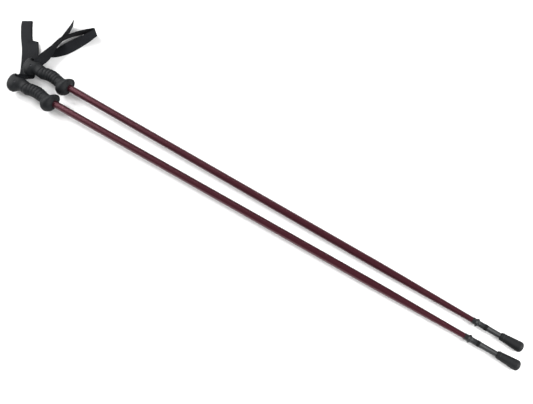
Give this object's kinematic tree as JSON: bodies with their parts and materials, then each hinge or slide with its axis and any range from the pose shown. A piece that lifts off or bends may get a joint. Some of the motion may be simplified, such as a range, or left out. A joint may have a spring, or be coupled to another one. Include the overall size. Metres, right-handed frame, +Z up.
{
  "type": "pair of trekking poles",
  "caption": "Pair of fixed-length trekking poles lying side by side: ribbed grips, webbing wrist straps, tapered tubes, plastic tip bodies and rubber tip caps.",
  "frame": {"origin": "middle of the pair's footprint, on the surface that the poles lie on", "axes": "+X along the poles from grips to tips, +Y across the pair from the front pole to the rear pole, +Z up"},
  "size_m": [1.3288, 0.2398, 0.0384],
  "materials": {
    "grip": "moulded foam rubber, satin black with a fine matte grain",
    "webbing": "woven black polyamide webbing",
    "shaft": "anodised and lacquered tube, dark wine red metallic",
    "tip_plastic": "satin black moulded plastic",
    "cap_rubber": "matte black rubber",
    "lock_plastic": "moulded plastic",
    "steel": "plain steel",
    "carbide": "sintered carbide, dark grey"
  },
  "bodies": {
    "front_pole": {"front_grip": "grip", "front_strap_pin": "steel", "front_strap_lock": "lock_plastic", "front_shaft": "shaft", "front_shaft_plug": "lock_plastic", "front_tip_body": "tip_plastic", "front_spike_sleeve": "steel", "front_spike": "carbide"},
    "front_cap": {"front_rubber_cap": "cap_rubber", "front_cap_washer": "steel"},
    "front_strap": {"front_strap": "webbing"},
    "rear_pole": {"rear_grip": "grip", "rear_strap_pin": "steel", "rear_strap_lock": "lock_plastic", "rear_shaft": "shaft", "rear_shaft_plug": "lock_plastic", "rear_tip_body": "tip_plastic", "rear_spike_sleeve": "steel", "rear_spike": "carbide"},
    "rear_cap": {"rear_rubber_cap": "cap_rubber", "rear_cap_washer": "steel"},
    "rear_strap": {"rear_strap": "webbing"}
  },
  "joints": [
    {"name": "rear_pole_lift", "type": "slide", "parent": "front_pole", "child": "rear_pole", "axis": [0, 0, 1], "range_m": [0, 0.15]},
    {"name": "front_strap_swing", "type": "hinge", "parent": "front_pole", "child": "front_strap", "pos_m": [-0.52892, -0.09964, 0.02], "axis": [0, 0, 1], "range_deg": [-5, 4]},
    {"name": "rear_strap_swing", "type": "hinge", "parent": "rear_pole", "child": "rear_strap", "pos_m": [-0.52899, -0.04719, 0.02001], "axis": [0, 0, 1], "range_deg": [-12, 6]},
    {"name": "front_cap_pull", "type": "slide", "parent": "front_pole", "child": "front_cap", "axis": [0.9999, 0.0077, -0.0082], "range_m": [0, 0.045]},
    {"name": "rear_cap_pull", "type": "slide", "parent": "rear_pole", "child": "rear_cap", "axis": [0.9999, -0.0077, -0.0082], "range_m": [0, 0.045]}
  ]
}
